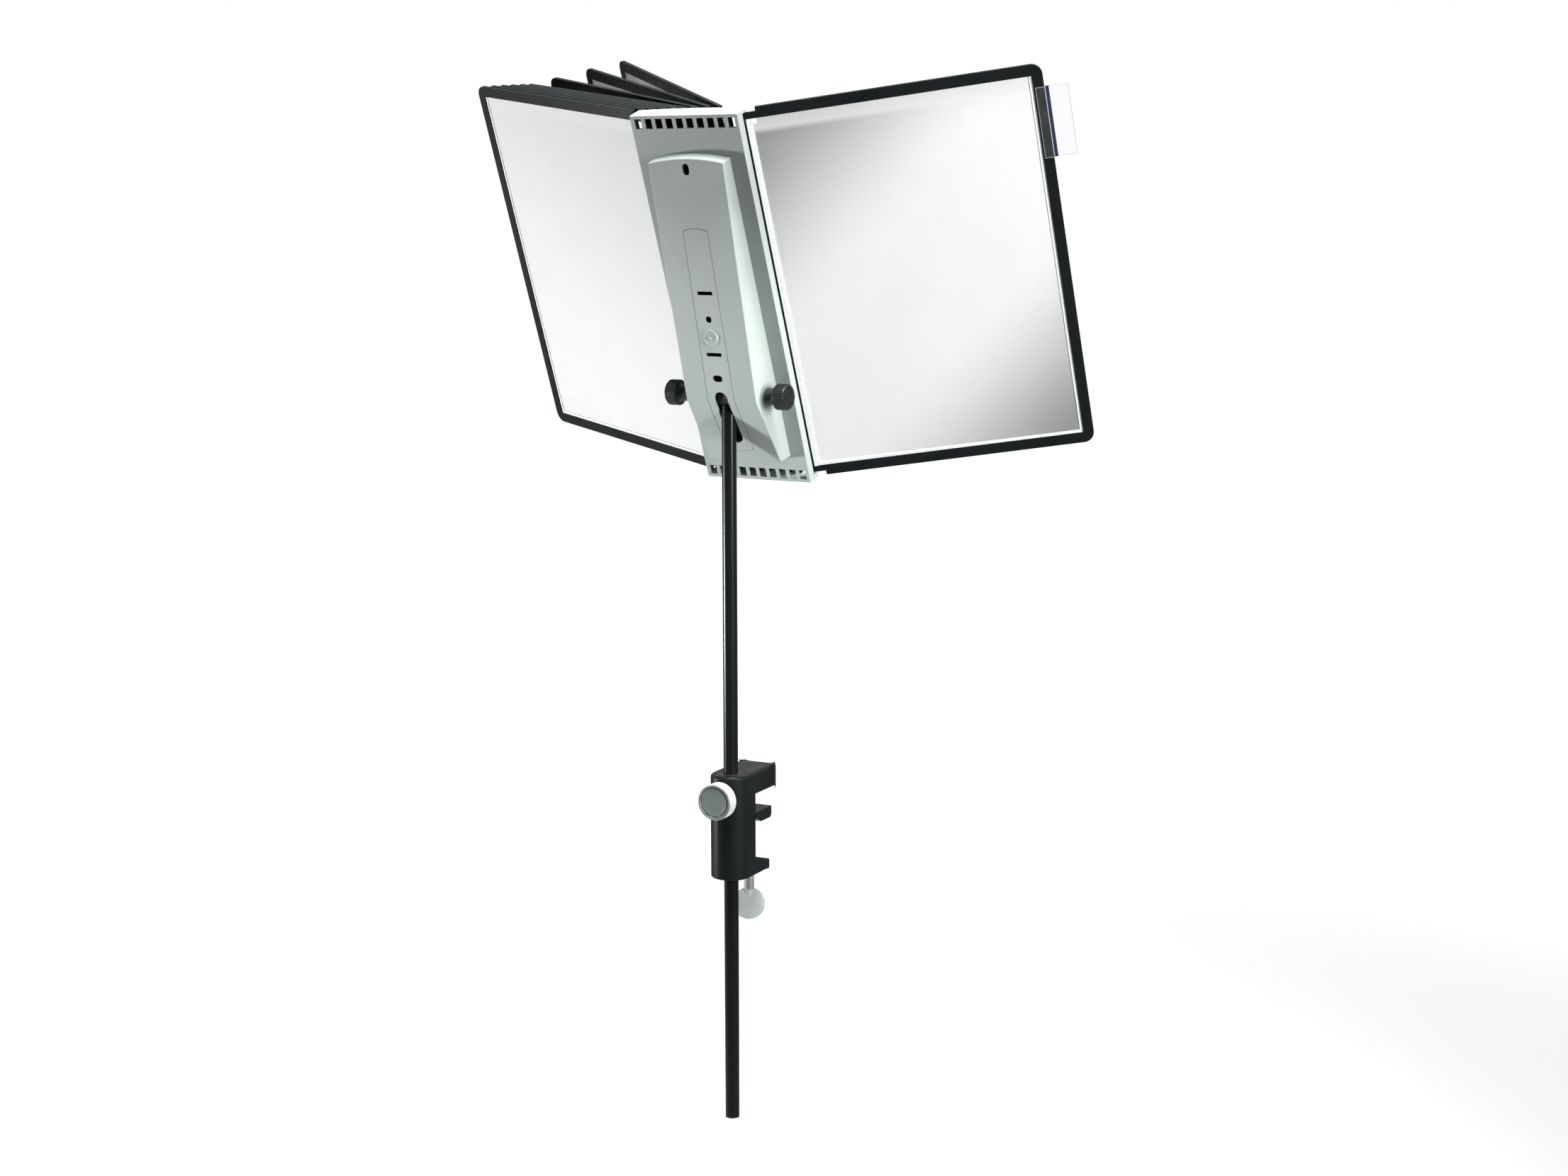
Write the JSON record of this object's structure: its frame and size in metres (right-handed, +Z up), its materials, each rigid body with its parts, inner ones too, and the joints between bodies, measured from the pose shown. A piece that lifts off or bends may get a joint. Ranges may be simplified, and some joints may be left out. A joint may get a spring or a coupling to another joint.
{
  "type": "desktop display panel system",
  "caption": "Desk-clamped reference display: hinged document leaves in a rail on a tilting bracket, on a tube that turns and slides in a C-clamp.",
  "frame": {"origin": "on the clamp's seat, where the clamp screw's axis meets the desk's top surface", "axes": "+Z up along the tube, +Y into the desk, +X to the right seen from the desk's edge"},
  "size_m": [0.5395, 0.2644, 0.8789],
  "materials": {
    "clamp_black": "satin black stove enamel",
    "tube_black": "satin black powder coat",
    "plug_black": "moulded black plastic",
    "steel": "zinc plated",
    "disc_grey": "pale grey cast metal",
    "knob_grey": "light grey moulded plastic",
    "cap_grey": "grey-green moulded plastic",
    "knob_black": "black moulded plastic",
    "shell_grey": "light grey-green moulded plastic",
    "frame_black": "satin black moulded plastic",
    "film_clear": "clear embossed film",
    "paper_white": "white paper",
    "tab_clear": "clear plastic"
  },
  "bodies": {
    "clamp": {"clamp_body": "clamp_black"},
    "bush": {"pole_bush": "plug_black"},
    "pole": {"pole_tube": "tube_black", "pole_end_cap": "plug_black", "tilt_tee": "steel"},
    "pressure_jaw": {"pressure_jaw": "clamp_black", "spindle_clip": "steel"},
    "clamp_screw": {"clamp_spindle": "steel", "thumb_disc": "disc_grey"},
    "lock_shoe": {"lock_shoe": "plug_black"},
    "lock_knob": {"lock_screw": "steel", "lock_knob": "knob_grey", "lock_knob_cap": "cap_grey"},
    "head": {"panel_rail": "shell_grey", "bracket_cover": "shell_grey", "bracket_insert": "shell_grey"},
    "tilt_knob_left": {"tilt_stud_left": "steel", "tilt_knob_left": "knob_black"},
    "tilt_knob_right": {"tilt_stud_right": "steel", "tilt_knob_right": "knob_black"},
    "index_tab": {"index_tab": "tab_clear"},
    "leaf_1": {"leaf_frame_1": "frame_black", "leaf_pocket_1": "film_clear", "leaf_sheet_1": "paper_white"},
    "leaf_2": {"leaf_frame_2": "frame_black", "leaf_pocket_2": "film_clear", "leaf_sheet_2": "paper_white"},
    "leaf_3": {"leaf_frame_3": "frame_black", "leaf_pocket_3": "film_clear", "leaf_sheet_3": "paper_white"},
    "leaf_4": {"leaf_frame_4": "frame_black", "leaf_pocket_4": "film_clear", "leaf_sheet_4": "paper_white"},
    "leaf_5": {"leaf_frame_5": "frame_black", "leaf_pocket_5": "film_clear", "leaf_sheet_5": "paper_white"},
    "leaf_6": {"leaf_frame_6": "frame_black", "leaf_pocket_6": "film_clear", "leaf_sheet_6": "paper_white"},
    "leaf_7": {"leaf_frame_7": "frame_black", "leaf_pocket_7": "film_clear", "leaf_sheet_7": "paper_white"},
    "leaf_8": {"leaf_frame_8": "frame_black", "leaf_pocket_8": "film_clear", "leaf_sheet_8": "paper_white"},
    "leaf_9": {"leaf_frame_9": "frame_black", "leaf_pocket_9": "film_clear", "leaf_sheet_9": "paper_white"},
    "leaf_10": {"leaf_frame_10": "frame_black", "leaf_pocket_10": "film_clear", "leaf_sheet_10": "paper_white"}
  },
  "joints": [
    {"name": "pole_swivel", "type": "hinge", "parent": "clamp", "child": "bush", "pos_m": [0, -0.0315, 0], "axis": [0, 0, 1], "continuous": true},
    {"name": "pole_height", "type": "slide", "parent": "bush", "child": "pole", "axis": [0, 0, 1], "range_m": [-0.222, 0.205]},
    {"name": "head_tilt", "type": "hinge", "parent": "pole", "child": "head", "pos_m": [0, -0.0315, 0.3307], "axis": [0.9971, -0.0767, 0], "range_deg": [-10, 60]},
    {"name": "tilt_knob_left_turn", "type": "hinge", "parent": "head", "child": "tilt_knob_left", "pos_m": [0, -0.0315, 0.3307], "axis": [-0.9971, 0.0767, 0], "range_deg": [-360, 360]},
    {"name": "tilt_knob_right_turn", "type": "hinge", "parent": "head", "child": "tilt_knob_right", "pos_m": [0, -0.0315, 0.3307], "axis": [0.9971, -0.0767, 0], "range_deg": [-360, 360]},
    {"name": "pressure_jaw_lift", "type": "slide", "parent": "clamp", "child": "pressure_jaw", "axis": [0, 0, 1], "range_m": [-0.03, 0.01]},
    {"name": "clamp_screw_turn", "type": "hinge", "parent": "pressure_jaw", "child": "clamp_screw", "pos_m": [0, 0, -0.05], "axis": [0, 0, 1], "range_deg": [-5410, 1810]},
    {"name": "lock_shoe_slide", "type": "slide", "parent": "clamp", "child": "lock_shoe", "axis": [0, -1, 0], "range_m": [-0.0001, 0.0026]},
    {"name": "lock_knob_turn", "type": "hinge", "parent": "lock_shoe", "child": "lock_knob", "pos_m": [0, -0.0315, 0], "axis": [0, -1, 0], "range_deg": [0, 720]},
    {"name": "index_tab_slide", "type": "slide", "parent": "leaf_10", "child": "index_tab", "axis": [-0.0271, -0.3524, 0.9354], "range_m": [-0.228, 0.009]},
    {"name": "leaf_1_turn", "type": "hinge", "parent": "head", "child": "leaf_1", "pos_m": [-0.04084, -0.00148, 0.34082], "axis": [0.0271, 0.3524, -0.9354], "range_deg": [-1.5, 128]},
    {"name": "leaf_2_turn", "type": "hinge", "parent": "head", "child": "leaf_2", "pos_m": [-0.03124, -0.00139, 0.34114], "axis": [0.0271, 0.3524, -0.9354], "range_deg": [-1.6, 128.1]},
    {"name": "leaf_3_turn", "type": "hinge", "parent": "head", "child": "leaf_3", "pos_m": [-0.02166, -0.0015, 0.34138], "axis": [0.0271, 0.3524, -0.9354], "range_deg": [-1.6, 128.1]},
    {"name": "leaf_4_turn", "type": "hinge", "parent": "head", "child": "leaf_4", "pos_m": [-0.0121, -0.00181, 0.34153], "axis": [0.0271, 0.3524, -0.9354], "range_deg": [-1.6, 128.1]},
    {"name": "leaf_5_turn", "type": "hinge", "parent": "head", "child": "leaf_5", "pos_m": [-0.00255, -0.00234, 0.34161], "axis": [0.0271, 0.3524, -0.9354], "range_deg": [-1.6, 128.1]},
    {"name": "leaf_6_turn", "type": "hinge", "parent": "head", "child": "leaf_6", "pos_m": [0.00698, -0.00307, 0.34161], "axis": [0.0271, 0.3524, -0.9354], "range_deg": [-1.6, 128.1]},
    {"name": "leaf_7_turn", "type": "hinge", "parent": "head", "child": "leaf_7", "pos_m": [0.0165, -0.00401, 0.34153], "axis": [0.0271, 0.3524, -0.9354], "range_deg": [-1.55, 124.3]},
    {"name": "leaf_8_turn", "type": "hinge", "parent": "head", "child": "leaf_8", "pos_m": [0.026, -0.00516, 0.34138], "axis": [0.0271, 0.3524, -0.9354], "range_deg": [-1.49, 118.4]},
    {"name": "leaf_9_turn", "type": "hinge", "parent": "head", "child": "leaf_9", "pos_m": [0.03548, -0.00652, 0.34114], "axis": [0.0271, 0.3524, -0.9354], "range_deg": [-1.43, 113.2]},
    {"name": "leaf_10_turn", "type": "hinge", "parent": "head", "child": "leaf_10", "pos_m": [0.04495, -0.00809, 0.34082], "axis": [0.0271, 0.3524, -0.9354], "range_deg": [-114.8, 4.7]}
  ],
  "couplings": [
    {"joint": "clamp_screw_turn", "follows": "pressure_jaw_lift", "rad_per_m": 3141.6},
    {"joint": "lock_shoe_slide", "follows": "lock_knob_turn", "m_per_rad": 0.00019894},
    {"joint": "leaf_2_turn", "follows": "leaf_1_turn", "ratio": 1},
    {"joint": "leaf_3_turn", "follows": "leaf_1_turn", "ratio": 1},
    {"joint": "leaf_4_turn", "follows": "leaf_1_turn", "ratio": 1},
    {"joint": "leaf_5_turn", "follows": "leaf_1_turn", "ratio": 1},
    {"joint": "leaf_6_turn", "follows": "leaf_1_turn", "ratio": 1},
    {"joint": "leaf_7_turn", "follows": "leaf_1_turn", "ratio": 0.97031},
    {"joint": "leaf_8_turn", "follows": "leaf_1_turn", "ratio": 0.92422},
    {"joint": "leaf_9_turn", "follows": "leaf_1_turn", "ratio": 0.88359}
  ]
}
